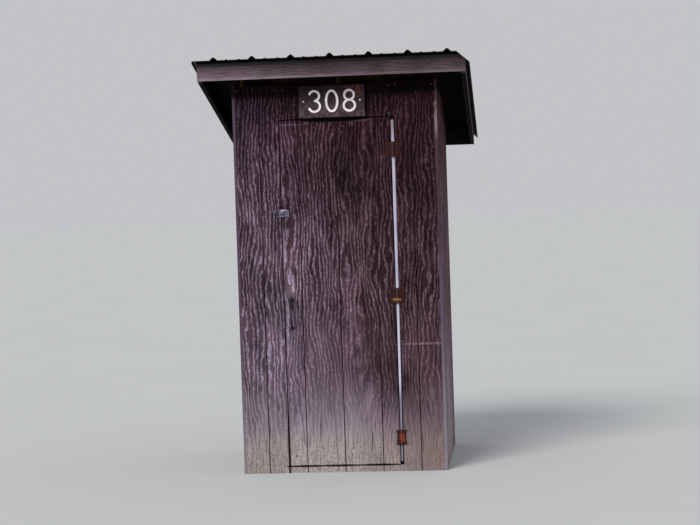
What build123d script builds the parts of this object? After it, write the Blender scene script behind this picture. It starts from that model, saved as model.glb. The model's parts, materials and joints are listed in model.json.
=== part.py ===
from build123d import *
import math
import os

# A one-person wooden outhouse: grooved plywood on a stud frame, under a single-pitch roof of ribbed metal.
# Lengths are in millimetres. +X is to the right seen from the front, +Y runs to the back, +Z is up.
# The origin is the centre of the footprint at ground level.

# The walls
hut_width = 1219.0          # over the side siding, one 4 ft sheet
hut_depth = 1219.0          # over the front and rear siding
siding_thickness = 15.9
groove_width = 4.0
groove_depth = 4.5
groove_pitch = 227.5
front_groove_offset = 2.0       # a groove of the front sheet, measured from the middle
side_groove_offset = 0.0
stud_thickness = 38.0
stud_width = 89.0
eased_edge = 3.0            # the small bevel along dressed lumber
sill_height = 38.0

# The floor
plank_width = 140.0
plank_gap = 4.0

# The roof
roof_fall = 0.25            # 3 in 12, falling to the back
front_roof_height = 2409.5  # the deck's underside above the front wall's face
front_eave = 150.0          # the front wall's face to the fascia's face
rear_eave = 150.0
side_eave = 180.0
rafter_depth = 89.0
fascia_thickness = 25.0
fascia_height = 100.0       # measured plumb
deck_thickness = 12.0
roofing_thickness = 0.8
roofing_front_lap = 20.0    # how far the sheets run past the fascias
roofing_side_lap = 25.0
roofing_lip = 16.0          # the left edge turned down
skirt_width = 51.0          # the right edge bends down this far inside the rake's face
skirt_fall = 0.86           # its drop over its run
rib_pitch = 228.6
rib_height = 17.0
rib_foot = 48.0
rib_crown = 12.0
bead_height = 3.0
bead_foot = 20.0
bead_crown = 9.0
bead_spread = 76.0          # between the two small beads in each pan
sheet_lap_clearance = 0.4

# The door
door_left = -332.0          # the door panel's latch edge
door_right = 328.5          # the door panel's hinge edge
over_door_height = 202.8    # the siding from the top of the opening up to the rafters
door_gap = 6.0              # at the latch edge, the top and the bottom
jamb_gap = 5.5              # the hinge edge to the jamb stud
panel_joint_height = 757.0  # the seam across the narrow right-hand panel
hinge_side_opening = 24.0   # the hinge edge to the right-hand panel
batten_thickness = 19.0
batten_width = 89.0
batten_clearance = 7.0
rail_heights = (120.0, 884.0)   # the middles of the two lower rails
stop_thickness = 19.0
stop_width = 38.0

# The pale strip nailed to the jamb stud behind the hinge gap
strip_thickness = 11.0
strip_inset = 0.5           # from the jamb stud's near edge
strip_low = 60.0
strip_shoulder_low = 1000.0
strip_shoulder_drop = 255.0     # below the door's top edge
strip_drop = 17.0
strip_foot_width = 10.0
strip_middle_width = 15.0
strip_full_width = 17.5

# The hinges, placed by their middles
bottom_hinge_rise = 157.0   # above the door's bottom edge
middle_hinge_height = 1045.0
top_hinge_drop = 192.0      # below the door's top edge
hinge_height = 88.9
hinge_leaf_width = hinge_height / 2
hinge_leaf_thickness = 2.5
hinge_corner_radius = 6.0
barrel_radius = 5.5
pin_radius = 3.2
pin_clearance = 0.08
pin_head_radius = 4.6
pin_head_height = 2.5
knuckle_count = 5
knuckle_gap = 0.4
knuckle_relief = 0.6        # between a barrel and the other leaf's edge

# The pull handle
handle_inset = 40.0         # the latch edge to the middle of the handle
handle_top = 1128.0
handle_plate_width = 46.0
handle_plate_shoulder = 1052.0  # where the plate starts to taper down to the grip
handle_plate_thickness = 3.0
grip_width = 13.0
grip_thickness = 8.0
grip_top = 992.0
grip_bottom = 868.0
grip_reach = 40.0
handle_foot_radius = 13.0
thumb_press_height = 1046.0
thumb_press_width = 20.0
thumb_press_reach = 26.0
thumb_press_thickness = 5.0

# The hasp across the latch edge
hasp_height = 44.0
hasp_centre = 1554.0
hasp_thickness = 2.5
hasp_plate_length = 34.0    # on the door
hasp_strap_length = 60.0    # from the knuckle over the left-hand siding
hasp_corner = 10.0
hasp_knuckle_radius = 4.5
hasp_knuckle_inset = 10.0   # the latch edge to the knuckle
staple_wire = 5.0
staple_height = 26.0
staple_reach = 22.0
staple_distance = 41.0      # the knuckle to the staple
staple_clearance = 5.5

# The number board over the door
number_board_width = 390.0
number_board_height = 190.0
number_board_thickness = 19.0
number_board_centre = -10.5
number_board_rise = 9.0     # above the door's top edge

# Planes and lines that several pieces share
left_face = -hut_width / 2
right_face = hut_width / 2
front_face = -hut_depth / 2
rear_face = hut_depth / 2
frame_left = left_face + siding_thickness
frame_right = right_face - siding_thickness
frame_front = front_face + siding_thickness
frame_rear = rear_face - siding_thickness
inner_left = frame_left + stud_width
inner_right = frame_right - stud_width
inner_front = frame_front + stud_width
inner_rear = frame_rear - stud_width
fascia_front_face = front_face - front_eave
fascia_rear_face = rear_face + rear_eave
rake_left_face = left_face - side_eave
rake_right_face = right_face + side_eave
slope_angle = math.atan(roof_fall)
plumb_rafter_depth = rafter_depth / math.cos(slope_angle)
plumb_deck_thickness = deck_thickness / math.cos(slope_angle)
opening_left = door_left - door_gap
jamb_right = door_right + jamb_gap
panel_right_start = door_right + hinge_side_opening
pin_x = (door_right + panel_right_start) / 2
pin_y = front_face - barrel_radius


def deck_underside(y):
    """Height of the deck's underside, which is also the top of the rafters."""
    return front_roof_height - roof_fall * (y - front_face)


def rafter_underside(y):
    return deck_underside(y) - plumb_rafter_depth


front_plate_top = rafter_underside(frame_front)
opening_top = front_plate_top - over_door_height
door_top = opening_top - door_gap
door_bottom = sill_height + door_gap
rear_plate_top = rafter_underside(inner_rear)
rear_siding_top = rafter_underside(rear_face)
skirt_start = rake_right_face - skirt_width
skirt_end = rake_right_face + roofing_side_lap


def block(low, high):
    """A plain block between two corners."""
    size = [b - a for a, b in zip(low, high)]
    middle = [(a + b) / 2 for a, b in zip(low, high)]
    return Pos(*middle) * Box(*size)


def lumber(low, high, along):
    """A dressed board between two corners, with the four edges along one axis eased."""
    board = block(low, high)
    return chamfer(board.edges().filter_by(along), eased_edge)


def write(name, *solids):
    """One node: its solids in one STEP file."""
    shape = solids[0] if len(solids) == 1 else Compound(children=list(solids))
    export_step(shape, os.path.join("parts", name + ".step"))


def groove_positions(offset, low, high):
    """Grooves at a fixed pitch that fall inside a stretch of siding."""
    first = math.ceil((low + groove_width - offset) / groove_pitch)
    last = math.floor((high - groove_width - offset) / groove_pitch)
    return [offset + groove_pitch * step for step in range(first, last + 1)]


def grooved_profile(low, high, offset):
    """The siding in plan: its face on the line y = 0, its back at y = its thickness."""
    sheet = Pos((low + high) / 2, siding_thickness / 2) * Rectangle(high - low, siding_thickness)
    for place in groove_positions(offset, low, high):
        sheet -= Pos(place, groove_depth / 2) * Rectangle(groove_width, groove_depth)
    return sheet


def front_siding(x_low, x_high, z_low, z_high):
    """A piece of the front sheet, which is cut so that the grooves run on from piece to piece."""
    profile = Pos(0, front_face, z_low) * grooved_profile(x_low, x_high, front_groove_offset)
    return extrude(profile, z_high - z_low, dir=(0, 0, 1))


def rear_siding():
    profile = Rot(0, 0, 180) * grooved_profile(-frame_right, -frame_left, side_groove_offset)
    return extrude(Pos(0, rear_face, 0) * profile, rear_siding_top, dir=(0, 0, 1))


def roof_cut():
    """The plane of the deck's underside, facing up."""
    return Plane(
        origin=(0, front_face, front_roof_height), x_dir=(1, 0, 0), z_dir=(0, roof_fall, 1)
    )


def side_siding(side):
    """A side wall's sheet, side -1 on the left and 1 on the right, trimmed to the roof's slope."""
    profile = grooved_profile(front_face, rear_face, side_groove_offset)
    turned = Pos(side * right_face, 0) * Rot(0, 0, 90 * side) * profile
    sheet = extrude(turned, front_roof_height, dir=(0, 0, 1))
    return split(sheet, bisect_by=roof_cut(), keep=Keep.BOTTOM)


def along_slope(x_low, x_high, y_low, y_high, lower, upper):
    """A board that follows the slope between plumb ends, from lower to upper above the deck's underside."""
    corners = [
        (y_low, deck_underside(y_low) + lower),
        (y_high, deck_underside(y_high) + lower),
        (y_high, deck_underside(y_high) + upper),
        (y_low, deck_underside(y_low) + upper),
    ]
    outline = make_face(Polyline(*corners, close=True))
    return Pos(x_low, 0, 0) * extrude(Plane.YZ * outline, x_high - x_low, dir=(1, 0, 0))


def make_base():
    """Sills laid flat on the ground, and a plank floor between them."""
    for name, near, far in (("front", frame_front, inner_front), ("rear", inner_rear, frame_rear)):
        sill = lumber((frame_left, near, 0), (frame_right, far, sill_height), Axis.X)
        write("sill_" + name, sill)
    write(
        "side_sills",
        lumber((frame_left, inner_front, 0), (inner_left, inner_rear, sill_height), Axis.Y),
        lumber((inner_right, inner_front, 0), (frame_right, inner_rear, sill_height), Axis.Y),
    )
    room = inner_rear - inner_front
    count = math.floor((room + plank_gap) / (plank_width + plank_gap))
    pitch = (room - plank_width) / (count - 1)
    planks = []
    for number in range(count):
        start = inner_front + pitch * number
        low = (inner_left, start, 0)
        high = (inner_right, start + plank_width, sill_height)
        planks.append(lumber(low, high, Axis.X))
    write("floor_planks", *planks)


def stud(x_low, x_high, y_low, y_high, top):
    return lumber((x_low, y_low, sill_height), (x_high, y_high, top), Axis.Z)


def make_frame():
    """Studs, header and top plates."""
    front_stud_top = front_plate_top - stud_thickness
    rear_stud_top = rear_plate_top - stud_thickness
    near, far = frame_front, inner_front
    write(
        "front_corner_studs",
        stud(frame_left, frame_left + stud_thickness, near, far, front_stud_top),
        stud(frame_right - stud_thickness, frame_right, near, far, front_stud_top),
    )
    write("jamb_stud_latch", stud(opening_left - stud_thickness, opening_left, near, far, front_stud_top))
    write("jamb_stud_hinge", stud(jamb_right, jamb_right + stud_thickness, near, far, front_stud_top))
    header_low = (opening_left, near, opening_top)
    header_high = (jamb_right, far, opening_top + stud_thickness)
    write("door_header", lumber(header_low, header_high, Axis.X))
    plate_low = (frame_left, near, front_stud_top)
    write("top_plate_front", lumber(plate_low, (frame_right, far, front_plate_top), Axis.X))
    near, far = inner_rear, frame_rear
    middle = stud_thickness / 2
    write(
        "rear_studs",
        stud(frame_left, frame_left + stud_thickness, near, far, rear_stud_top),
        stud(-middle, middle, near, far, rear_stud_top),
        stud(frame_right - stud_thickness, frame_right, near, far, rear_stud_top),
    )
    plate_low = (frame_left, near, rear_stud_top)
    write("top_plate_rear", lumber(plate_low, (frame_right, far, rear_plate_top), Axis.X))
    under_rafters = roof_cut().offset(-rafter_depth)
    side_studs = []
    for low, high in ((frame_left, inner_left), (inner_right, frame_right)):
        tall = stud(low, high, -middle, middle, deck_underside(-middle))
        side_studs.append(split(tall, bisect_by=under_rafters, keep=Keep.BOTTOM))
    write("side_studs", *side_studs)


def skirt_line(x):
    """Depth of the bent-down edge below the deck's top."""
    return -skirt_fall * (x - skirt_start)


def bevel(piece):
    """Trims a piece to the plane that the roofing bends down on along the right edge."""
    plane = Plane(
        origin=(skirt_start, front_face, front_roof_height + plumb_deck_thickness),
        x_dir=(0, 1, -roof_fall),
        z_dir=(skirt_fall, roof_fall, 1),
    )
    return split(piece, bisect_by=plane, keep=Keep.BOTTOM)


def make_rafter(x_low):
    """A rafter with a birdsmouth over each top plate and a plumb cut at each fascia."""
    y_low = fascia_front_face + fascia_thickness
    y_high = fascia_rear_face - fascia_thickness
    rafter = along_slope(x_low, x_low + stud_thickness, y_low, y_high, -plumb_rafter_depth, 0)
    for near, far, seat in (
        (frame_front, inner_front, front_plate_top),
        (inner_rear, frame_rear, rear_plate_top),
    ):
        rafter -= block((x_low, near, seat - rafter_depth), (x_low + stud_thickness, far, seat))
    return rafter


def fascia(face, back):
    """A fascia with a level bottom and a top bevelled to the slope, its height taken at the outer face."""
    level = deck_underside(face) - fascia_height
    corners = [(face, level), (back, level), (back, deck_underside(back)), (face, deck_underside(face))]
    outline = make_face(Polyline(*corners, close=True))
    board = extrude(Plane.YZ * outline, rake_right_face - rake_left_face, dir=(1, 0, 0))
    return Pos(rake_left_face, 0, 0) * board


def make_roof_frame():
    starts = (frame_left, -stud_thickness / 2, frame_right - stud_thickness)
    write("rafters", *[make_rafter(start) for start in starts])
    inner_front_fascia = fascia_front_face + fascia_thickness
    inner_rear_fascia = fascia_rear_face - fascia_thickness
    write("fascia_front", bevel(fascia(fascia_front_face, inner_front_fascia)))
    write("fascia_rear", bevel(fascia(fascia_rear_face, inner_rear_fascia)))
    span = (inner_front_fascia, inner_rear_fascia, -fascia_height, 0)
    write(
        "rake_boards",
        along_slope(rake_left_face, rake_left_face + fascia_thickness, *span),
        bevel(along_slope(rake_right_face - fascia_thickness, rake_right_face, *span)),
    )
    for name, low, high in (("left", rake_left_face, 0), ("right", 0, rake_right_face)):
        deck = along_slope(low, high, fascia_front_face, fascia_rear_face, 0, plumb_deck_thickness)
        write("roof_deck_" + name, bevel(deck))


def trapezoid(middle, foot, crown, height, lift=0.0):
    """The four turning points of a rib or bead, from left to right."""
    return [
        (middle - foot / 2, lift),
        (middle - crown / 2, lift + height),
        (middle + crown / 2, lift + height),
        (middle + foot / 2, lift),
    ]


def pan_beads(left_rib):
    """The two small beads in the pan to the right of a rib."""
    middle = left_rib + rib_pitch / 2
    return [
        point
        for shift in (-bead_spread / 2, bead_spread / 2)
        for point in trapezoid(middle + shift, bead_foot, bead_crown, bead_height)
    ]


def half_roofing(lapping):
    """The lower line of half of the ribbed roof, from the middle rib to the last rib's foot.

    The right-hand sheet laps over the middle rib, and the left-hand sheet, its mirror image, goes under."""
    if lapping:
        lift = roofing_thickness + sheet_lap_clearance
        over = trapezoid(0, rib_foot + 2 * lift, rib_crown, rib_height, lift)
        flank = [(a + b) / 2 for a, b in zip(over[0], over[1])]
        line = [tuple(flank), over[1], over[2], (over[3][0], 0)]
    else:
        under = trapezoid(0, rib_foot, rib_crown, rib_height)
        flank = [(a + b) / 2 for a, b in zip(under[0], under[1])]
        line = [tuple(flank), *under[1:]]
    rib = 0.0
    while rib + rib_pitch + rib_foot / 2 < skirt_start:
        line += pan_beads(rib)
        rib += rib_pitch
        line += trapezoid(rib, rib_foot, rib_crown, rib_height)
    return line


def roofing_section(lower, edge, foot):
    """A sheet's closed section: its lower line carried on to the edge and down to the foot."""
    across = roofing_thickness
    upper = [(x, z + roofing_thickness) for x, z in lower]
    upper += [(edge[0] + across / 2, edge[1] + roofing_thickness), (foot[0] + across, foot[1])]
    return make_face(Polyline(*lower, edge, foot, *reversed(upper), close=True))


def make_roofing():
    """Two ribbed sheets laid down the slope, lapped at the middle rib, with plumb ends."""
    start_y = fascia_front_face - roofing_front_lap
    run = fascia_rear_face + roofing_front_lap - start_y
    place = Pos(0, start_y, deck_underside(start_y) + plumb_deck_thickness)
    fall = {"amount": math.hypot(run, roof_fall * run), "dir": (0, 1, -roof_fall)}
    skirt = (skirt_start, 0), (skirt_end, skirt_line(skirt_end))
    right = roofing_section(half_roofing(True), *skirt)
    lip = (skirt_end, 0), (skirt_end, -roofing_lip)
    left = roofing_section(half_roofing(False), *lip).mirror(Plane.YZ)
    write("roofing_sheet_right", place * extrude(Plane.XZ * right, **fall))
    write("roofing_sheet_left", place * extrude(Plane.XZ * left, **fall))


def make_siding():
    write("front_siding_left", front_siding(frame_left, opening_left, 0, front_plate_top))
    right = (panel_right_start, frame_right)
    write("front_siding_right_lower", front_siding(*right, 0, panel_joint_height))
    write("front_siding_right_upper", front_siding(*right, panel_joint_height, front_plate_top))
    over_door = front_siding(opening_left, panel_right_start, opening_top, front_plate_top)
    write("front_siding_over_door", over_door)
    write("front_siding_sill", front_siding(opening_left, panel_right_start, 0, sill_height))
    write("side_siding_left", side_siding(-1))
    write("side_siding_right", side_siding(1))
    write("rear_siding", rear_siding())


def make_trim():
    """The number board, the door stops and the pale strip behind the hinge gap."""
    board_bottom = door_top + number_board_rise
    low = (number_board_centre - number_board_width / 2, front_face - number_board_thickness, board_bottom)
    high = (number_board_centre + number_board_width / 2, front_face, board_bottom + number_board_height)
    write("number_board", lumber(low, high, Axis.X))
    stop_front = frame_front + door_gap
    stop_back = stop_front + stop_width
    stop_edge = opening_left + stop_thickness
    side_stop = block((opening_left, stop_front, sill_height), (stop_edge, stop_back, opening_top))
    top_low = (stop_edge, stop_front, opening_top - stop_thickness)
    top_stop = block(top_low, (jamb_right, stop_back, opening_top))
    write("door_stop_side", side_stop)
    write("door_stop_top", top_stop)
    left = jamb_right + strip_inset
    outline = [
        (left, strip_low),
        (left + strip_foot_width, strip_low),
        (left + strip_middle_width, strip_shoulder_low),
        (left + strip_full_width, door_top - strip_shoulder_drop),
        (left + strip_middle_width, door_top - strip_drop),
        (left, door_top - strip_drop),
    ]
    face = Plane.XZ * make_face(Polyline(*outline, close=True))
    write("hinge_gap_strip", Pos(0, frame_front, 0) * extrude(face, strip_thickness, dir=(0, -1, 0)))


def knuckle_spans(odd):
    """The heights of one leaf's knuckles from the hinge's foot: odd ones are the frame leaf's."""
    pitch = (hinge_height + knuckle_gap) / knuckle_count
    spans = [(pitch * number, pitch * (number + 1) - knuckle_gap) for number in range(knuckle_count)]
    return spans[0::2] if odd else spans[1::2]


def rod(radius, low, high):
    return Pos(0, 0, (low + high) / 2) * Cylinder(radius, high - low)


def hinge_leaf(side, frame_leaf):
    """One leaf with its knuckles about the pin, side 1 to the right and -1 to the left of the pin."""
    plate = block(
        (min(0, side * hinge_leaf_width), barrel_radius - hinge_leaf_thickness, 0),
        (max(0, side * hinge_leaf_width), barrel_radius, hinge_height),
    )
    outer = plate.edges().filter_by(Axis.Y).sort_by(Axis.X)
    plate = fillet(outer[-2:] if side > 0 else outer[:2], hinge_corner_radius)
    for low, high in knuckle_spans(not frame_leaf):
        plate -= rod(barrel_radius + knuckle_relief, low - knuckle_gap, high + knuckle_gap)
    for low, high in knuckle_spans(frame_leaf):
        plate += rod(barrel_radius, low, high)
    return plate


def make_hinges():
    heights = {
        "bottom": door_bottom + bottom_hinge_rise,
        "middle": middle_hinge_height,
        "top": door_top - top_hinge_drop,
    }
    for name, height in heights.items():
        place = Pos(pin_x, pin_y, height - hinge_height / 2)
        frame_leaf = hinge_leaf(1, True) + rod(pin_radius, 0, hinge_height)
        frame_leaf += rod(pin_head_radius, hinge_height, hinge_height + pin_head_height)
        write("hinge_" + name + "_frame_leaf", place * frame_leaf)
        door_leaf = hinge_leaf(-1, False)
        door_leaf -= rod(pin_radius + pin_clearance, 0, hinge_height)
        write("hinge_" + name + "_door_leaf", place * door_leaf)


def make_door():
    """The panel cut from the front sheet, stiffened behind by a stile, three rails and two braces."""
    write("door_panel", front_siding(door_left, door_right, door_bottom, door_top))
    near, far = frame_front, frame_front + batten_thickness
    stile_right = door_right - batten_clearance
    stile_left = stile_right - batten_width
    rail_left = opening_left + stop_thickness + batten_clearance
    top_edge = opening_top - stop_thickness - batten_clearance
    half = batten_width / 2
    middles = (*rail_heights, top_edge - half)
    foot = middles[0] - half
    write("door_stile", lumber((stile_left, near, foot), (stile_right, far, top_edge), Axis.Z))
    rails = [
        lumber((rail_left, near, middle - half), (stile_left, far, middle + half), Axis.X)
        for middle in middles
    ]
    write("door_rails", *rails)
    braces = []
    for below, above in zip(middles, middles[1:]):
        bay = block((rail_left, near, below + half), (stile_left, far, above - half))
        run, rise = stile_left - rail_left, above - below - batten_width
        board = Rot(0, math.degrees(math.atan2(rise, run)), 0) * Box(
            2 * math.hypot(run, rise), batten_thickness, batten_width
        )
        braces.append(bay & (Pos(*bay.center()) * board))
    write("door_braces", *braces)


def make_handle():
    """A thumb-latch handle: an arched plate, a thumb press, and a bowed grip ending on a round foot."""
    half = handle_plate_width / 2
    arch = handle_top - half
    outline = Polyline(
        (half, arch),
        (half, handle_plate_shoulder),
        (grip_width / 2, grip_top - grip_thickness),
        (-grip_width / 2, grip_top - grip_thickness),
        (-half, handle_plate_shoulder),
        (-half, arch),
    )
    crown = ThreePointArc((-half, arch), (0, handle_top), (half, arch))
    plate = extrude(Plane.XZ * make_face(outline + crown), handle_plate_thickness, dir=(0, -1, 0))
    disc = Plane.XZ * Pos(0, grip_bottom) * Circle(handle_foot_radius)
    plate += extrude(disc, handle_plate_thickness, dir=(0, -1, 0))
    bow = ThreePointArc(
        (0, grip_bottom), (-grip_reach, (grip_bottom + grip_top) / 2), (0, grip_top)
    )
    grip = extrude(Plane.YZ * trace(bow, grip_thickness), grip_width / 2, both=True)
    reach = 2 * grip_reach
    grip &= block((-reach, -reach, grip_bottom - reach), (reach, 0, grip_top + reach))
    press = block(
        (-thumb_press_width / 2, -thumb_press_reach, thumb_press_height),
        (thumb_press_width / 2, 0, thumb_press_height + thumb_press_thickness),
    )
    handle = plate + grip + press
    write("door_handle", Pos(door_left + handle_inset, front_face, 0) * handle)


def make_hasp():
    """The hasp's plate, knuckle and slotted strap on the door, and its staple on the siding."""
    knuckle_y = -hasp_knuckle_radius
    half = hasp_height / 2
    plate = block((0, -hasp_thickness, -half), (hasp_plate_length, 0, half))
    plate = fillet(plate.edges().filter_by(Axis.Y).group_by(Axis.X)[-1], hasp_corner / 2)
    front = -2 * hasp_knuckle_radius
    strap = block((-hasp_strap_length, front, -half), (0, front + hasp_thickness, half))
    strap = fillet(strap.edges().filter_by(Axis.Y).group_by(Axis.X)[0], hasp_corner)
    slot_width = staple_wire + 2 * staple_clearance
    slot_height = staple_height + 2 * staple_clearance
    reach = 2 * staple_reach
    strap -= block(
        (-staple_distance - slot_width / 2, -reach, -slot_height / 2),
        (-staple_distance + slot_width / 2, 0, slot_height / 2),
    )
    knuckle = Pos(0, knuckle_y) * Cylinder(hasp_knuckle_radius, hasp_height)
    knuckle_x = door_left + hasp_knuckle_inset
    write("hasp_strap", Pos(knuckle_x, front_face, hasp_centre) * (plate + strap + knuckle))
    outer = (staple_height - staple_wire) / 2
    bend = staple_wire
    path = FilletPolyline(
        (0, 0, -outer), (0, -staple_reach, -outer), (0, -staple_reach, outer), (0, 0, outer), radius=bend
    )
    section = Plane(origin=(0, 0, -outer), z_dir=(0, -1, 0)) * Circle(staple_wire / 2)
    staple = sweep(section, path)
    write("hasp_staple", Pos(knuckle_x - staple_distance, front_face, hasp_centre) * staple)


os.makedirs("parts", exist_ok=True)
make_base()
make_frame()
make_roof_frame()
make_roofing()
make_siding()
make_trim()
make_hinges()
make_door()
make_handle()
make_hasp()
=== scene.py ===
# %% [markdown]
# A one-person wooden outhouse, dressed for its portrait. The solid model comes packed as a frame,
# at its real size in metres, and nothing here moves or resizes it. This lesson gives each part the
# finish of the real thing and adds the small pieces that only show: nails, screws, slivers of
# veneer and a routed number.

# %% Load the solid model
import json
import math
import random
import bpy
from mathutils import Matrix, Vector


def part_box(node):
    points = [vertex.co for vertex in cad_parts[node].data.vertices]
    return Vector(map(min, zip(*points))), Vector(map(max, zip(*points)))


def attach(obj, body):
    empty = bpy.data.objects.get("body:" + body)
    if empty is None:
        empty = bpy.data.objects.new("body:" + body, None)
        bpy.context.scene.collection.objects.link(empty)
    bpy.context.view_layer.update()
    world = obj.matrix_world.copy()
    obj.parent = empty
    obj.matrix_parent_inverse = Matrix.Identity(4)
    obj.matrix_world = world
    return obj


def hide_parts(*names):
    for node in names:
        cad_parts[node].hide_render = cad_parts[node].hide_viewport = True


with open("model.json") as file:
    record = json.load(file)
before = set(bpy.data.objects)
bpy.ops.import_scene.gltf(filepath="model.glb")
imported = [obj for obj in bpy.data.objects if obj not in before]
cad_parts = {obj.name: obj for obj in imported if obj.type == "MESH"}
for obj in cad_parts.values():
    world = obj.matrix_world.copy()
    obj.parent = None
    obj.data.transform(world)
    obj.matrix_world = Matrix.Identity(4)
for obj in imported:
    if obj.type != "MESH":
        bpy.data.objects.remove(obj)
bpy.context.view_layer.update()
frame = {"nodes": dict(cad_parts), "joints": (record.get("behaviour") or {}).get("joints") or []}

from types import SimpleNamespace

import bmesh
import bpy
from mathutils import Matrix, Vector

nodes = frame["nodes"]
millimetre = 0.001

# %% [markdown]
# The camera comes first, because everything else is judged through it. A photograph fixes where the
# camera stood: eleven metres off, a little to the right of the door and at eye height, held with a
# slight tilt. Keeping that place keeps the perspective. A longer lens then brings the small
# building close enough to see its grain, and the lens shift stays at zero.

# %% Camera at the photograph's place
camera_place = Vector((1.0875, -11.5325, 1.590))
aim_point = Vector((0.02, -0.12, 1.235))
camera_tilt = -0.0327
camera_lens = 95.0
full_frame_width = 36


def place_object(name, data):
    """Puts a mesh, a lamp or a camera into the scene as an object."""
    thing = bpy.data.objects.new(name, data)
    bpy.context.scene.collection.objects.link(thing)
    return thing


aim = aim_point - camera_place
level = Vector((aim.y, -aim.x, 0)).normalized()
above = level.cross(aim).normalized()
right = level * math.cos(camera_tilt) + above * math.sin(camera_tilt)
up = above * math.cos(camera_tilt) - level * math.sin(camera_tilt)

camera = place_object("camera", bpy.data.cameras.new("camera"))
camera.data.sensor_width = full_frame_width
camera.data.lens = camera_lens
turned = Matrix((right, up, -aim.normalized())).transposed().to_4x4()
camera.matrix_world = Matrix.Translation(camera_place) @ turned
bpy.context.scene.camera = camera
print("camera", [round(v, 3) for v in camera_place], "lens", camera_lens)

# %% [markdown]
# Colours are easiest to pick as the hex codes of a paint chart, but a shader adds light in linear
# units, so one function turns the first into the second. Another adds a node with its settings and
# fills its sockets: one that is given another node's output is linked to it, and a number or a
# colour is just kept. Sockets that share a name go by number. In a Map Range, 0 is the value, 1 and
# 2 are the ends it comes from, and 3 and 4 the ends it goes to, or else 0 and 1. In a Mix of
# colours, 0 is the share and 6 and 7 are the colours.

# %% Colours and nodes
colours = {"data_type": "RGBA"}
smooth = {"interpolation_type": "SMOOTHSTEP"}


def linear(code):
    """An sRGB hex colour as linear light."""
    shares = [int(code[start:start + 2], 16) / 255 for start in (1, 3, 5)]
    lit = [s / 12.92 if s <= 0.04045 else ((s + 0.055) / 1.055) ** 2.4 for s in shares]
    return (*lit, 1.0)


def fill(tree, node, sockets):
    """Fills sockets of a node with outputs, hex colours or numbers."""
    for name, value in sockets.items():
        if isinstance(value, bpy.types.NodeSocket):
            tree.links.new(value, node.inputs[name])
        else:
            node.inputs[name].default_value = linear(value) if isinstance(value, str) else value


def add(tree, kind, sockets, **settings):
    """Adds one node with its settings and links, and gives back its outputs."""
    node = tree.nodes.new("ShaderNode" + kind)
    for name, value in settings.items():
        setattr(node, name, value)
    fill(tree, node, sockets)
    return node.outputs


print("white in linear light", linear("#ffffff"))

# %% [markdown]
# Paint and weather are layers, so a finish is built up as a painter would: one colour, then a coat
# of another where some pattern is strong. A coat goes on either by a ready share from 0 to 1, or
# where a pattern climbs from start to full. Marks such as a rubbed spot need the distance to a
# centre. Every material begins with the place on the surface, in metres, and ends where its colour,
# roughness and relief meet the shader. Bare wood has an index of refraction near 1.45.

# %% Begin, coat and end a material
wood_index, paint_index = 1.45, 1.5


def begin_material(name):
    """A new material, with its tree and the node that reads the place on the surface."""
    material = bpy.data.materials.new(name)
    material.use_nodes = True
    return material, material.node_tree, add(material.node_tree, "TexCoord", {})


def coat(tree, under, over, pattern, start=None, full=None, most=1.0):
    """Lays one colour over another by a share, or where a pattern climbs from start to full."""
    if start is not None:
        pattern = add(tree, "MapRange", {0: pattern, 1: start, 2: full, 4: most}, **smooth)[0]
    return add(tree, "Mix", {0: pattern, 6: under, 7: over}, **colours)[2]


def apart(tree, place, centre, radii):
    """The distance of a place from a centre, which is 1 on the ellipsoid with those radii."""
    away = add(tree, "VectorMath", {0: place["Object"], 1: centre}, operation="SUBTRACT")[0]
    scaled = add(tree, "VectorMath", {0: away, 1: radii}, operation="DIVIDE")[0]
    return add(tree, "VectorMath", {0: scaled}, operation="LENGTH")[1]


def end_material(tree, colour, roughness, relief, strength, depth, index, gloss=0.5, metallic=0.0):
    """Joins a finish to its shader. The relief is depth metres high, shown at a strength."""
    bumps = {"Height": relief, "Strength": strength, "Distance": depth}
    sockets = {"Base Color": colour, "Roughness": roughness, "Normal": add(tree, "Bump", bumps)[0]}
    sockets.update({"IOR": index, "Specular IOR Level": gloss, "Metallic": metallic})
    fill(tree, tree.nodes["Principled BSDF"], sockets)


print("index of wood", wood_index, "and of paint", paint_index)

# %% [markdown]
# Wood grain is one idea that serves every board here. In a rotary-cut veneer the knife peels the log
# like a roll of paper, so the year rings come out as contour lines of a slowly waving surface:
# straight in places, looping into tall arches in others. The same can be done with a soft noise
# that is stretched along the board: count the contours of that noise, and let a steady climb across
# the board keep them apart. Each ring is then a narrow pale ridge that the weather has worn and a
# wide dark valley where the stain lasts. Fine fibres run over both. A noise's scale counts its
# patterns in a metre. Real fibres are much finer than a millimetre, and are drawn about 5 mm wide
# so that they show.

# %% The grain of a board
fibres_per_metre = 190.0


def stripes(tree, climb, turn, start, full):
    """Soft stripes from a value that climbs. Turn is the angle that each unit of it adds."""
    angle = add(tree, "Math", {0: climb, 1: turn}, operation="MULTIPLY")[0]
    wave = add(tree, "Math", {0: angle}, operation="SINE")[0]
    return add(tree, "MapRange", {0: wave, 1: start, 2: full}, **smooth)[0]


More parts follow.
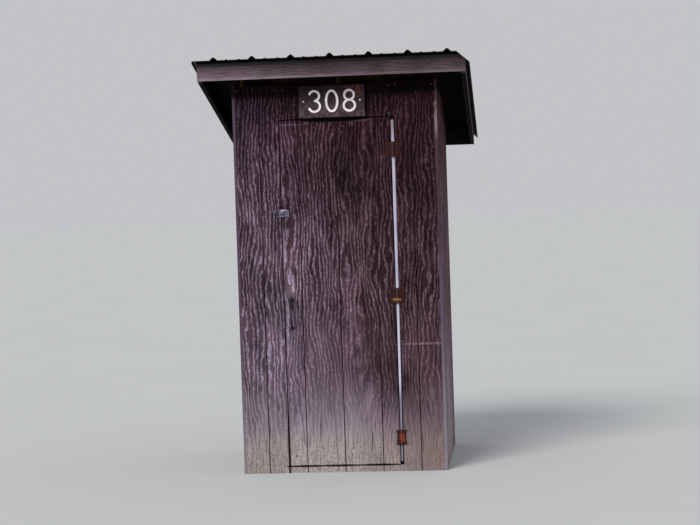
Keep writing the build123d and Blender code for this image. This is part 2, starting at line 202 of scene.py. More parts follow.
def grain(tree, across, along, ring_width, waviness, seed):
    """Year rings and fibres for a board, from its two coordinates in metres."""
    def long_noise(stretch, shift, scale, detail, roughness):
        """A soft noise that is drawn out along the board."""
        slow = add(tree, "Math", {0: along, 1: stretch}, operation="MULTIPLY")[0]
        spot = add(tree, "CombineXYZ", {0: across, 1: slow, 2: shift})[0]
        sockets = {"Vector": spot, "Scale": scale, "Detail": detail, "Roughness": roughness}
        return add(tree, "TexNoise", sockets)[0]

    swell = long_noise(0.30, seed, 5.0, 1.0, 0.5)
    ripple = long_noise(0.48, seed + 5, 13.0, 4.0, 0.62)
    fibres = long_noise(0.045, seed, fibres_per_metre, 3.5, 0.62)
    climb = add(tree, "Math", {0: across, 1: 1 / ring_width}, operation="MULTIPLY")[0]
    for noise, sway in ((swell, waviness), (ripple, waviness * 0.45)):
        climb = add(tree, "Math", {0: noise, 1: sway, 2: climb}, operation="MULTIPLY_ADD")[0]
    return stripes(tree, climb, math.tau, -0.1, 0.95), fibres


print("fibres every", round(1000 / fibres_per_metre, 1), "mm")

# %% [markdown]
# The walls are grooved fir plywood with a rough-sawn face, brushed long ago with a dark brown
# solid stain. All that has happened to a sheet follows a few patterns, so those are laid out first:
# its grain; clouds and blots, taller than wide, where the stain is thin; specks where the saw left
# the face rough; and checks, the dark hairline cracks of dry wood. They are noises of different
# sizes, about 200 mm for the clouds, 50 for the blots, 12 for the specks and 8 for the cracks. All
# are read at the place in the building, so the grain runs on from piece to piece of one wall.

# %% Patterns of a plywood sheet
ring_width = 25 * millimetre


def lay_out_sheet(tree, place, facing, seed):
    """The patterns of one sheet of a wall. Facing is its outward direction."""
    here = place["Object"]
    axes = add(tree, "SeparateXYZ", {0: here})
    across, depth = (axes["X"], axes["Y"]) if facing[0] == 0 else (axes["Y"], axes["X"])
    rings, fibres = grain(tree, across, axes["Z"], ring_width, 6.5, seed)
    upright = add(tree, "VectorMath", {0: here, 1: (1.0, 1.0, 0.34)}, operation="MULTIPLY")[0]
    crawl = add(tree, "VectorMath", {0: here, 1: (1.0, 1.0, 0.02)}, operation="MULTIPLY")[0]
    cloudy = {"Vector": upright, "Roughness": 0.6}
    hairlines = add(tree, "TexNoise", {"Vector": crawl, "Scale": 120.0, "Detail": 1.0})[0]
    return SimpleNamespace(
        facing=facing, seed=seed, across=across, depth=depth, height=axes["Z"], upright=upright,
        rings=rings, fibres=fibres,
        fibre_tone=add(tree, "MapRange", {0: fibres, 1: 0.36, 2: 0.66}, **smooth)[0],
        clouds=add(tree, "TexNoise", {**cloudy, "Scale": 5.0, "Detail": 2.0})[0],
        blots=add(tree, "TexNoise", {**cloudy, "Scale": 19.0, "Detail": 3.0})[0],
        specks=add(tree, "TexNoise", {"Vector": here, "Scale": 80.0, "Detail": 2.5})[0],
        cracks=add(tree, "MapRange", {0: hairlines, 1: 0.69, 2: 0.75}, **smooth)[0],
    )


print("year rings every", ring_width * 1000, "mm")

# %% [markdown]
# Stain on a rough face wears off the ridges first and stays in the valleys, so the rings show as
# lilac-grey streaks on purple-brown. How bare a ridge is depends on several things at once, so it
# is one number that each of them changes: the clouds, the saw's roughness, rubbing hands, and rain,
# which has evened out the lower boards.

# %% Stain worn off the ridges
least_wear, cloud_wear, foot_wear = 0.50, 0.40, 0.35


def stained_face(tree, place, sheet, rubbed):
    """Dark stain in the valleys and grey wood on the ridges, barest where it was rubbed."""
    thin = add(tree, "MapRange", {0: sheet.clouds, 1: 0.34, 2: 0.66}, **smooth)[0]
    blotted = add(tree, "MapRange", {0: sheet.blots, 1: 0.36, 2: 0.62}, **smooth)[0]
    patchy = add(tree, "Math", {0: thin, 1: blotted}, operation="MULTIPLY")[0]
    stain = coat(tree, coat(tree, "#291b21", "#4f3a43", sheet.fibre_tone), "#644d58", patchy)

    foot = add(tree, "MapRange", {0: sheet.height, 1: 1.0, 2: 0.3, 4: foot_wear}, **smooth)[0]
    wear = {0: patchy, 1: cloud_wear, 2: least_wear}
    wear = {0: add(tree, "Math", wear, operation="MULTIPLY_ADD")[0], 1: foot}
    wear = add(tree, "Math", wear, operation="ADD")[0]
    fuzzy = add(tree, "MapRange", {0: sheet.fibres, 1: 0.30, 2: 0.56}, **smooth)[0]
    sawn = {0: sheet.specks, 1: 0.36, 2: 0.58, 3: 0.45, 4: 1.25}
    ridge = add(tree, "Math", {0: sheet.rings, 1: fuzzy}, operation="MULTIPLY")[0]
    for share in (wear, add(tree, "MapRange", sawn, **smooth)[0]):
        ridge = add(tree, "Math", {0: ridge, 1: share}, operation="MULTIPLY", use_clamp=True)[0]

    for centre, radii, strength in rubbed:
        away = apart(tree, place, centre, radii)
        near = add(tree, "MapRange", {0: away, 1: 1.0, 2: 0.2}, **smooth)[0]
        streaks = {0: sheet.fibres, 1: 0.38, 2: 0.58, 3: 0.35 * strength, 4: 1.3 * strength}
        added = {0: near, 1: add(tree, "MapRange", streaks, **smooth)[0], 2: ridge}
        ridge = add(tree, "Math", added, operation="MULTIPLY_ADD", use_clamp=True)[0]

    # Rain has evened out the lower boards, all but the one by the latch
    low_down = add(tree, "MapRange", {0: sheet.height, 1: 1.10, 2: 0.70, 4: 0.50}, **smooth)[0]
    past_latch = add(tree, "MapRange", {0: sheet.across, 1: -0.42, 2: -0.28}, **smooth)[0]
    evened = add(tree, "Math", {0: low_down, 1: past_latch}, operation="MULTIPLY")[0]
    even = {0: sheet.across, 1: -0.30, 2: 0.50, 3: 0.22, 4: 0.08}
    ridge = add(tree, "Mix", {0: evened, 2: ridge, 3: add(tree, "MapRange", even, **smooth)[0]})[0]
    lilac = coat(tree, "#a89bb4", "#a993a3", sheet.across, -0.35, 0.2)
    return coat(tree, stain, lilac, ridge)


print("wear of the ridges from", least_wear, "to", least_wear + cloud_wear + foot_wear)

# %% [markdown]
# Under the eave the wall is nearly black, and it pales down the wall: partly stain that the weather
# has thinned less, and partly painted shade from the eave. The tone also runs across a wall,
# because one end gets more weather. The right-hand wall is lighter and redder, which is painted
# warm light on that side. Some broad patches, 130 mm wide, were stained twice. All this only makes
# the same colour lighter or darker, so it is multiplied in.

# %% Tone of a wall from eave to foot
darkest_height, palest_height = 2.35, 0.75


def tone_and_painted_light(tree, place, sheet, face, tones, faded):
    """A face under its tone, which runs across the wall between two numbers, and under painted shade
    from the eave.
    """
    # Darker up towards the eave: partly stain that the weather has thinned less, partly painted
    # shade.
    down = {0: sheet.height, 1: darkest_height, 2: palest_height, 4: 0.93}
    eave_shade_and_shelter = add(tree, "MapRange", down, **smooth)[0]
    over = {0: sheet.across, 1: -0.6, 2: 0.6, 3: tones[0], 4: tones[1]}
    side_tone = add(tree, "MapRange", over, **smooth)[0]
    tone = add(tree, "Math", {0: eave_shade_and_shelter, 1: side_tone}, operation="MULTIPLY")[0]
    # The shade colours are painted light: in_shade is painted shade under the eave, and the
    # right-hand wall's lighter, redder pair is painted warm light.
    in_shade, in_full = "#b99596", "#ffecee"
    if sheet.facing[0] <= 0:
        in_shade, in_full = coat(tree, "#7c6c73", "#7c6266", sheet.across, -0.45, -0.25), "#ffffff"
    shade = coat(tree, in_shade, in_full, tone)
    face = add(tree, "VectorMath", {0: face, 1: shade}, operation="MULTIPLY")[0]

    patches = {"Vector": sheet.upright, "Scale": 7.5, "Detail": 1.0, "W": sheet.seed}
    broad = add(tree, "TexNoise", patches, noise_dimensions="4D")[0]
    gains = [{0: broad, 1: 0.60, 2: 0.42, 3: 0.85, 4: 1.22}]
    for centre, radii, strength in faded:
        away = apart(tree, place, centre, radii)
        gains.append({0: away, 1: 1.0, 2: 0.4, 3: 1.0, 4: 1.0 + strength})
    for sockets in gains:
        scale = add(tree, "MapRange", sockets, **smooth)[0]
        face = add(tree, "VectorMath", {0: face, "Scale": scale}, operation="SCALE")[0]
    return face


print("the wall pales from", darkest_height, "m down to", palest_height, "m")

# %% [markdown]
# Rain splashes the foot of a wall. There the wood has bleached to a pale grey-beige with a ragged
# upper edge, cooler in tone above than at the very foot, and speckled with dried soil. So bare wood
# is mixed in by a share that grows down the wall, and the clouds make its upper edge ragged.

# %% Bleached foot
splash_height = 0.34


def bleached_foot(tree, sheet, face, heights):
    """Bare wood low down on a face, and its share. The heights run across the wall."""
    ragged = add(tree, "Math", {0: sheet.clouds, 1: 0.5}, operation="SUBTRACT")[0]
    uneven = {0: ragged, 1: -0.4, 2: sheet.height}
    ragged_height = add(tree, "Math", uneven, operation="MULTIPLY_ADD")[0]
    tops = {0: sheet.across, 1: -0.12, 2: 0.12, 3: heights[0], 4: heights[1]}
    bleach_top = add(tree, "MapRange", tops, **smooth)[0]
    climb = {0: ragged_height, 1: bleach_top, 2: 0.0, 4: 0.92}
    bleach = add(tree, "MapRange", climb, **smooth)[0]
    bare = coat(tree, coat(tree, "#8b8181", "#bbb2b0", sheet.fibre_tone), "#ada4a4", sheet.rings)
    tint = coat(tree, "#ffffff", "#cdbfbf", sheet.across, -0.1, 0.6)
    tint = coat(tree, "#e7e6e4", tint, sheet.across, -0.42, -0.28)
    cooler = coat(tree, "#ffffff", "#efe9ff", sheet.height, 0.12, 0.36)
    tint = add(tree, "VectorMath", {0: tint, 1: cooler}, operation="MULTIPLY")[0]
    bare = add(tree, "VectorMath", {0: bare, 1: tint}, operation="MULTIPLY")[0]
    wet = {0: sheet.height, 1: splash_height, 2: 0.02, 4: 0.8}
    splash = add(tree, "MapRange", wet, **smooth)[0]
    soil = add(tree, "MapRange", {0: sheet.specks, 1: 0.50, 2: 0.64}, **smooth)[0]
    soil = add(tree, "Math", {0: soil, 1: splash}, operation="MULTIPLY")[0]
    return coat(tree, coat(tree, face, bare, bleach), "#77695c", soil), bleach


print("soil reaches up to", splash_height, "m")

# %% [markdown]
# The stain was only brushed on the outside. The cut edges show their five plies, light and dark in
# turn, which a wave through the depth of the sheet gives, and the inside is bare. The right-hand
# corner has lost its stain under the eave, and shows the red of old glue.

# %% Cut edges and bare inside
ply_thickness = 3.2 * millimetre


def cut_edges(tree, sheet, tone, bleach):
    """The plies that show where a sheet was cut."""
    layers = stripes(tree, sheet.depth, math.pi / ply_thickness, -0.5, 0.5)
    edge = coat(tree, tone, "#5d4c5c", layers)
    if sheet.facing[0] > 0:
        edge = coat(tree, edge, "#3f2c34", sheet.height, 1.05, 1.45, 0.75)
        bare_ply = coat(tree, "#472c28", "#7f6c6e", sheet.blots, 0.50, 0.60)
        edge = coat(tree, edge, bare_ply, sheet.height, 1.94, 2.06)
    return coat(tree, edge, "#857c86", bleach)


def bare_inside(tree, sheet):
    """The side that was never stained, aged to a dull tan."""
    inside = coat(tree, "#7b5f48", "#a58867", sheet.fibre_tone)
    inside = coat(tree, inside, "#8d6f52", sheet.rings)
    return coat(tree, inside, "#6d5849", sheet.clouds, 0.45, 0.75)


print("plies of", round(ply_thickness * 1000, 1), "mm")

# %% [markdown]
# Now the whole sheet can be put together. The material asks which way each face looks, and takes
# the inside, the edge or the outside for it. Last comes what lies over all of them: thick stain in
# the grooves, which are nine inches apart, and painted shade. The relief is the rings, the fibres
# and the cracks, and the surface is very rough, as raw wood is.

# %% A whole sheet of stained plywood
groove_pitch = 227.5 * millimetre


def stained_plywood(
    name, facing, seed, tones, bleached, edge_tone, groove_start=0.0, rubbed=(), faded=(), painted_shade=()
):
    """One wall's sheet. The tones and the bleached heights run across it.

    Rubbed, faded and painted-shade places are soft spots, each a centre, its radii and how strong it
    is."""
    material, tree, place = begin_material(name)
    sheet = lay_out_sheet(tree, place, facing, seed)
    face = stained_face(tree, place, sheet, rubbed)
    face = tone_and_painted_light(tree, place, sheet, face, tones, faded)
    face, bleach = bleached_foot(tree, sheet, face, bleached)
    face = coat(tree, face, "#150d11", sheet.cracks)
    edge = cut_edges(tree, sheet, edge_tone, bleach)
    turned_out = add(tree, "VectorMath", {0: place["Normal"], 1: facing}, operation="DOT_PRODUCT")[1]
    colour = coat(tree, bare_inside(tree, sheet), edge, turned_out, -0.6, -0.4)
    colour = coat(tree, colour, face, turned_out, 0.4, 0.6)

    past = add(tree, "Math", {0: sheet.across, 1: groove_start}, operation="SUBTRACT")[0]
    to_groove = add(tree, "Math", {0: past, 1: groove_pitch / 2}, operation="PINGPONG")[0]
    colour = coat(tree, colour, "#22181c", to_groove, 3.4 * millimetre, 2.2 * millimetre)
    # Painted shade: near black over the outside and the edges, in gaps, under the eave and round the
    # board and hinges.
    for centre, radii, strength in painted_shade:
        away = apart(tree, place, centre, radii)
        painted_dark = coat(tree, colour, "#080405", away, 1.0, 0.7, strength)
        colour = coat(tree, colour, painted_dark, turned_out, -0.6, -0.4)

    relief = {0: sheet.rings, 1: 0.5, 2: sheet.fibres}
    relief = {0: sheet.cracks, 1: -0.6, 2: add(tree, "Math", relief, operation="MULTIPLY_ADD")[0]}
    relief = add(tree, "Math", relief, operation="MULTIPLY_ADD")[0]
    matt = {0: sheet.fibres, 1: 0.3, 2: 0.7, 3: 0.92, 4: 0.74}
    roughness = add(tree, "MapRange", matt, **smooth)[0]
    end_material(tree, colour, roughness, relief, 0.8, 1.6 * millimetre, wood_index, 0.06)
    return material


print("grooves every", groove_pitch * 1000, "mm")

# %% [markdown]
# Hands, rain and the brush have left marks on the front that no even pattern would place, and
# shade falls in its gaps. Each is a soft spot: its place across and its height in metres, its radii
# across and up, and how strong it is. Three lists hold them: where the stain is rubbed off, where it
# is thinner or was brushed on twice (a strength below zero), and painted shade, under the eave, in
# the gaps, under and beside the number board and round the hinges.

# %% Marks on the front
front_face = -0.61
pin_x, pin_y = frame["joints"][0]["pos_m"][:2]
door_low, door_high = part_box("door_panel")
board_low, board_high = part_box("number_board")
door_top, board_centre_z = door_high.z, (board_low.z + board_high.z) / 2
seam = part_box("front_siding_right_lower")[1].z
hinge_boxes = [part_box("hinge_" + place + "_door_leaf") for place in ("bottom", "middle", "top")]
bottom_hinge, middle_hinge, top_hinge = [(low.z + high.z) / 2 for low, high in hinge_boxes]


def on_front(*spots):
    """Soft spots on the front, as deep as they need to be to reach through it."""
    return [((x, front_face, z), (wide, 1.0, high), strength) for x, z, wide, high, strength in spots]


rubbed = on_front(
    (-0.327, 1.33, 0.013, 0.22, 0.50),  # the edge by the latch
    (-0.298, 1.02, 0.050, 0.30, 0.22),  # where hands push
    (-0.318, 0.88, 0.013, 0.24, 0.40),
    (-0.440, 0.70, 0.200, 0.45, 0.10),
    (0.135, door_top - 0.010, 0.105, 0.012, 1.30),  # along the door's top edge
    (0.100, door_top - 0.030, 0.030, 0.018, 0.50),
    (-0.270, door_top - 0.026, 0.100, 0.010, 0.55),
    (-0.346, door_top - 0.045, 0.012, 0.032, 1.20),
    (0.000, door_top - 0.014, 0.110, 0.010, 0.45),
    (0.520, 1.84, 0.055, 0.030, 0.35),  # a scrape beside the top hinge
    (0.480, seam, 0.260, 0.010, 0.90),  # along the seam right of the door
)
faded = on_front(
    (-0.180, 1.30, 0.20, 0.38, 0.55),
    (-0.160, 2.02, 0.24, 0.22, 0.70),
    (-0.100, 1.70, 0.12, 0.22, 0.35),
    (0.240, 0.90, 0.08, 0.30, 0.70),
    (-0.330, 0.60, 0.08, 0.26, 0.40),
    (-0.050, 0.74, 0.15, 0.30, 0.45),
    (-0.440, 1.74, 0.26, 0.42, 0.45),
    (0.500, 0.76, 0.13, 0.44, 0.45),
    (0.100, 1.76, 0.14, 0.36, -0.45),
    (0.190, 1.02, 0.09, 0.36, -0.25),
    (0.410, 1.38, 0.08, 0.22, -0.20),
    (-0.470, 1.02, 0.14, 0.42, -0.22),
)
# Painted shadow of the eave: a near-black band along the tops of the walls.
painted_eave_shadow = on_front((0.0, 2.345, 3.0, 0.120, 0.80))
# Painted shade round the middle and top hinges, under the eave, over and under the door, beside the
# board and in the latch gap.
painted_shade = on_front(*((pin_x, middle, 0.062, 0.058, 0.75) for middle in (middle_hinge, top_hinge)))
painted_shade += painted_eave_shadow + on_front(
    (0.0, door_top + 0.003, 0.350, 0.010, 0.85),  # over the door
    (board_low.x + 0.200, door_top - 0.002, 0.230, 0.019, 1.0),  # under the board
    (board_high.x + 0.003, board_centre_z, 0.014, 0.110, 0.9),  # beside the board
    (door_low.x - 0.002, 0.10, 0.009, 0.38, 0.9),  # low in the latch gap
    *((x, door_low.z - 0.003, 0.150, 0.008, 0.85) for x in (-0.230, -0.020, 0.200)),  # its foot
)
print("marks", len(rubbed), "rubbed", len(faded), "faded", len(painted_shade), "shaded")

# %% [markdown]
# Each wall is one sheet, so the pieces of the front share one material. The walls differ in how
# much weather they get, and only the front has its marks. The side walls have the eave's painted
# shadow.

# %% The four walls
walls = {
    side: stained_plywood("stained_plywood_" + side, *settings)
    for side, *settings in (
        # The front's dark edge colour, #33242d, is painted shade on the cut edges in its gaps.
        ("front", (0, -1, 0), 3.1, (0.88, 0.30), (0.68, 0.61), "#33242d", 2.0 * millimetre,
         rubbed, faded, painted_shade),
        ("rear", (0, 1, 0), 7.4, (1.0, 1.0), (0.75, 0.75), "#3f2d38"),
        ("left", (-1, 0, 0), 12.8, (0.95, 0.95), (0.85, 0.85), "#4c3c4c", 0.0, (), (), painted_eave_shadow),
        # The right-hand wall's tones above 1 lighten it: painted warm light on that side.
        ("right", (1, 0, 0), 17.5, (1.15, 1.15), (1.14, 1.14), "#574c63", 0.0, (), (), painted_eave_shadow),
    )
}
print("wall materials", sorted(walls))

# %% [markdown]
# Framing, rafters and roof deck are dressed softwood: planed smooth at the mill, with straight
# narrow rings and a knot here and there, never coated, and aged to a dull tan. What differs is the
# direction of the grain, so one function makes them all from a direction and three tones: the
# valleys, the rings and the aged patches. Where rafter tails and deck stand out past the walls they
# turn near black, painted shade under the eave, and the timbers round the door are near black,
# painted shade in its gaps.

# %% Dressed softwood
wall_reach = 0.600
bare_tones = ("#7a5c40", "#a98a63", "#6d594a")
deck_tones = ("#83664a", "#a68a68", "#6f5a49")
gap_shade_tones = ("#0f090b", "#1b1316", "#0b0708")


def softwood(name, direction, tones, seed, ring=9 * millimetre, soffit_painted_shade=False):
    """A planed board with its grain along one axis, and aged patches over it."""
    material, tree, place = begin_material(name)
    dark, light, aged = tones
    axes = add(tree, "SeparateXYZ", {0: place["Object"]})
    first, second = [axes[letter] for letter in "XYZ" if letter != direction]
    across = add(tree, "Math", {0: first, 1: second}, operation="ADD")[0]
    rings, fibres = grain(tree, across, axes[direction], ring, 9.0, seed)
    sockets = {"Vector": place["Object"], "Scale": 7.0, "Detail": 4.0, "Roughness": 0.6}
    wood = coat(tree, coat(tree, dark, light, rings), light, fibres, 0.42, 0.7, 0.5)
    wood = coat(tree, wood, aged, add(tree, "TexNoise", sockets)[0], 0.42, 0.66, 0.85)
    knots = add(tree, "TexVoronoi", {"Vector": place["Object"], "Scale": 4.5})[0]
    wood = coat(tree, wood, "#33221d", knots, 0.085, 0.03)
    # Painted shade: past the walls the rafter tails and deck turn near black, with almost no gloss.
    if soffit_painted_shade:
        reach = add(tree, "VectorMath", {0: place["Object"]}, operation="ABSOLUTE")[0]
        sides = add(tree, "SeparateXYZ", {0: reach})
        furthest = add(tree, "Math", {0: sides["X"], 1: sides["Y"]}, operation="MAXIMUM")[0]
        stain = coat(tree, "#060203", "#100707", fibres)
        wood = coat(tree, wood, stain, furthest, wall_reach, wall_reach + 4 * millimetre)
    relief = add(tree, "Math", {0: rings, 1: 0.3, 2: fibres}, operation="MULTIPLY_ADD")[0]
    roughness = add(tree, "MapRange", {0: fibres, 1: 0.3, 2: 0.7, 3: 0.85, 4: 0.66}, **smooth)[0]
    gloss = 0.02 if soffit_painted_shade else 0.3
    end_material(tree, wood, roughness, relief, 0.4, 0.8 * millimetre, wood_index, gloss)
    return material


framing = {
    direction: softwood("bare_softwood_" + direction.lower(), direction, bare_tones, seed)
    for seed, direction in enumerate("XYZ", start=2)
}
# Near-black timbers round the door: painted shade in the door's gaps.
painted_gap_shade = {
    direction: softwood("gap_shaded_softwood_" + direction.lower(), direction, gap_shade_tones, 13)
    for direction in "XZ"
}
rafter_wood = softwood("rafter_softwood", "Y", bare_tones, 9, soffit_painted_shade=True)
deck_under = softwood("deck_plywood", "X", deck_tones, 21, ring_width, True)
print("board materials", sorted(m.name for m in framing.values()))

# %% [markdown]
# The boards along the roof's edges deserve their own finish, because the eye meets them first. Sun
# and drips have faded their stain to a dusty mauve, lightest on the left, with a pale worn line
# along the bottom edge. They darken up towards the roofing, partly with painted shade under its
# edge, and the dark line just under the roofing is its painted shadow. Only height and place
# decide that, so it is a few more layers over the same board, laid on by coordinates measured from
# the solid.

# %% Faded fascias and rakes
fascia_low, fascia_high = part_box("fascia_front")


def faded_board(name, direction, slope, seed, gloss):
    """A stained roof-edge board. Slope is how far its lower edge falls for each metre along it."""
    material, tree, place = begin_material(name)
    here = place["Object"]
    axes = add(tree, "SeparateXYZ", {0: here})
    level = add(tree, "Math", {0: axes["Y"], 1: slope, 2: axes["Z"]}, operation="MULTIPLY_ADD")[0]
    rings, fibres = grain(tree, level, axes[direction], 14 * millimetre, 6.0, seed)
    sockets = {"Vector": here, "Scale": 5.0, "Detail": 4.0, "Roughness": 0.65}
    fibre_tone = add(tree, "MapRange", {0: fibres, 1: 0.35, 2: 0.68}, **smooth)[0]
    wood = coat(tree, "#2d2126", "#4d3e44", fibre_tone)
    wood = coat(tree, wood, "#63535a", rings, 0.2, 1.0, 0.55)
    wood = coat(tree, wood, "#33262b", add(tree, "TexNoise", sockets)[0], 0.40, 0.62, 0.8)
    bleached_fibres = coat(tree, "#55464e", "#74656f", fibre_tone)
    wood = coat(tree, wood, bleached_fibres, axes["X"], -0.1, -0.75, 0.65)

    # Measured up from the lower edge: sunned with painted shade, then the worn line, then the
    # roofing's painted shadow
    low = fascia_low.z
    # Darker up towards the roofing: faded less by sun, and painted shade under the roofing's edge.
    sun = {0: level, 1: low + 0.078, 2: low + 0.012, 3: 0.60, 4: 1.42}
    sunned_and_shaded = add(tree, "MapRange", sun, **smooth)[0]
    wood = add(tree, "VectorMath", {0: wood, "Scale": sunned_and_shaded}, operation="SCALE")[0]
    most_worn = add(tree, "MapRange", {0: axes["X"], 1: 0.3, 2: -0.6, 3: 0.35, 4: 0.95}, **smooth)[0]
    worn = coat(tree, "#73646e", "#8d7e88", fibre_tone)
    wood = coat(tree, wood, worn, level, low + 0.022, low + 0.004, most_worn)
    # Painted shadow under the roofing's edge: near black along the top of the board.
    wood = coat(tree, wood, "#090507", level, low + 0.070, low + 0.090, 0.93)

    # Painted shade: faces that look in towards the middle go near black.
    outward = add(tree, "VectorMath", {0: place["Normal"], 1: here}, operation="DOT_PRODUCT")[1]
    wood = coat(tree, "#080406", wood, outward, -0.2, 0.2)
    relief = add(tree, "Math", {0: rings, 1: 0.4, 2: fibres}, operation="MULTIPLY_ADD")[0]
    roughness = add(tree, "MapRange", {0: fibres, 1: 0.3, 2: 0.7, 3: 0.9, 4: 0.7}, **smooth)[0]
    end_material(tree, wood, roughness, relief, 0.5, 1.0 * millimetre, wood_index, gloss)
    return material


roof_slope = 0.25
fascia_wood = faded_board("faded_fascia", "X", 0.0, 31, 0.3)
rake_wood = faded_board("faded_rake", "Y", roof_slope, 37, 0.1)
print("fascia height", round(fascia_high.z - fascia_low.z, 4))

# %% [markdown]
# The roof is ribbed steel, roll-formed from a coil that was painted dark brown before forming.
# Paint protects its faces, which stay smooth and only chalk with age, in patches and in streaks
# down the slope. Water leaves a sheet at its low rear edge, so there rust starts at the bare cut
# and creeps up the pans. The paint film is a dielectric with a typical index of refraction of 1.5,
# so metallic stays at 0 even on steel.

# %% Painted ribbed steel
roofing_steel, tree, place = begin_material("painted_ribbed_steel")
here = place["Object"]
axes = add(tree, "SeparateXYZ", {0: here})
down = add(tree, "VectorMath", {0: here, 1: (1.0, 0.08, 0.3)}, operation="MULTIPLY")[0]
sockets = {"Vector": down, "Scale": 26.0, "Detail": 4.0, "Roughness": 0.6}
streaks = add(tree, "TexNoise", sockets)[0]
sockets = {"Vector": here, "Scale": 3.2, "Detail": 5.0, "Roughness": 0.62}
patches = add(tree, "TexNoise", sockets)[0]
grit = add(tree, "TexNoise", {"Vector": here, "Scale": 160.0, "Detail": 2.0})[0]
paint = coat(tree, "#170f12", "#2a1e22", streaks, 0.35, 0.7)
paint = coat(tree, paint, "#3d3134", patches, 0.45, 0.72, 0.7)
edge = add(tree, "MapRange", {0: axes["Y"], 1: 0.66, 2: 0.779, 4: 0.42}, **smooth)[0]
creep = add(tree, "Math", {0: streaks, 1: edge}, operation="ADD")[0]
rusted = add(tree, "MapRange", {0: creep, 1: 0.74, 2: 0.92}, **smooth)[0]
colour = coat(tree, paint, coat(tree, "#4a2a20", "#7a4526", grit, 0.35, 0.65), rusted)
flakes = add(tree, "Math", {0: rusted, 1: grit}, operation="MULTIPLY")[0]
roughness = add(tree, "MapRange", {0: rusted, 1: 0.0, 2: 1.0, 3: 0.52, 4: 0.92}, **smooth)[0]
end_material(tree, colour, roughness, flakes, 0.5, 0.5 * millimetre, paint_index, 0.3)
print("roofing", roofing_steel.name)

# %% [markdown]
# Three pieces of ironmongery, three histories. The hinges are pressed steel that lost its plating
# and rusted through: a dark red-brown scale with orange bloom where water sits, dull as soil. The
# hasp still has its hot zinc coat, grey with a soft shine and white bloom, with a painted highlight
# along its top edge. The handle is black iron, enamel over a rough casting, greyed where hands have
# rubbed it, with a painted highlight on its arched rim and painted shadow under its thumb press.
# Rust and enamel are not metals to the light, so only the zinc is metallic. The index of refraction
# is Blender's default of 1.5 on all three, which a metal is meant to keep. The patches are 7 to 17
# mm wide, and the grit in them is seven times finer.

# %% Rusted, galvanised and black iron
def weathered_metal(name, tones, scale, rough, metallic=0.0, gloss=0.5, marks_and_painted_light=()):
    """A metal part whose coat has patches of bloom and small spots, scale in patches per metre.

    Each rub, painted highlight and painted shadow is a soft spot: its centre, its radii, its colour
    and how much of it shows."""
    material, tree, place = begin_material(name)
    base, bloom, spot = tones
    sockets = {"Vector": place["Object"], "Scale": scale, "Detail": 5.0, "Roughness": 0.65}
    patches = add(tree, "TexNoise", sockets)[0]
    sockets = {"Vector": place["Object"], "Scale": scale * 7, "Detail": 2.0}
    grit = add(tree, "TexNoise", sockets)[0]
    colour = coat(tree, coat(tree, base, bloom, patches, 0.44, 0.62), spot, grit, 0.56, 0.68)
    for centre, radii, tone, most in marks_and_painted_light:
        away = {0: patches, 1: 1.6, 2: apart(tree, place, centre, radii)}
        ragged = add(tree, "Math", away, operation="MULTIPLY_ADD")[0]
        colour = coat(tree, colour, tone, ragged, 1.8, 1.3, most)
    relief = add(tree, "Math", {0: patches, 1: 1.5, 2: grit}, operation="MULTIPLY_ADD")[0]
    dull = {0: patches, 1: 0.4, 2: 0.65, 3: rough - 0.12, 4: rough}
    roughness = add(tree, "MapRange", dull, **smooth)[0]
    end_material(
        tree, colour, roughness, relief, 0.6, 0.5 * millimetre, paint_index, gloss, metallic
    )
    return material


dusty_leaf = (0.019, 1.0, 0.075)
hinge_rubs = (
    ((pin_x, pin_y, 1.1), (0.007, 1.0, 6.0), "#4d3b40", 0.7),
    ((pin_x + 0.004, pin_y, bottom_hinge), (0.020, 1.0, 0.034), "#8a4526", 0.8),
    ((pin_x - 0.004, pin_y, middle_hinge - 0.022), (0.034, 1.0, 0.011), "#8f6c44", 0.9),
    ((pin_x - 0.042, pin_y, bottom_hinge), dusty_leaf, "#84797a", 0.9),
    ((pin_x + 0.044, pin_y, bottom_hinge), dusty_leaf, "#7c7172", 0.9),
)
hasp_low, hasp_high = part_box("hasp_strap")
# Painted highlight: a pale spot along the hasp's top edge.
hasp_painted_highlight = (((hasp_low.x + 0.058, pin_y, hasp_high.z), (0.020, 1.0, 0.012), "#d9d0e0", 0.9),)
grip_low, grip_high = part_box("door_handle")
grip_x = (grip_low.x + grip_high.x) / 2
handle_rubs_and_painted_light = (
    ((grip_x, pin_y, grip_high.z - 0.040), (0.034, 1.0, 0.060), "#66555f", 0.9),
    # a painted highlight on the arched rim
    ((grip_x + 0.014, pin_y, grip_high.z - 0.022), (0.013, 1.0, 0.030), "#a696a5", 0.9),
    # painted shadow under the thumb press
    ((grip_x, pin_y, grip_high.z - 0.108), (0.011, 1.0, 0.050), "#140910", 1.0),
)
rust = ("#1f1116", "#381b1d", "#6f3824")
zinc = ("#575265", "#8f889c", "#342d3b")
iron = ("#17101a", "#2c2434", "#3c3346")
rusted_steel = weathered_metal("rusted_steel", rust, 70, 0.95, gloss=0.15, marks_and_painted_light=hinge_rubs)
galvanised = weathered_metal("galvanised_steel", zinc, 90, 0.60, metallic=1.0, marks_and_painted_light=hasp_painted_highlight)
black_iron = weathered_metal("black_enamelled_iron", iron, 60, 0.60, gloss=0.3, marks_and_painted_light=handle_rubs_and_painted_light)
print("ironmongery", rusted_steel.name, galvanised.name, black_iron.name)

# %% [markdown]
# Behind the hinge gap shows a pale strip of bare wood trim, the brightest line on the building.
# It is planed pine, silvered by the weather. It is greyer low down and darker up under the eave,
# where the darkening is painted shade, so three coats go on by height alone.

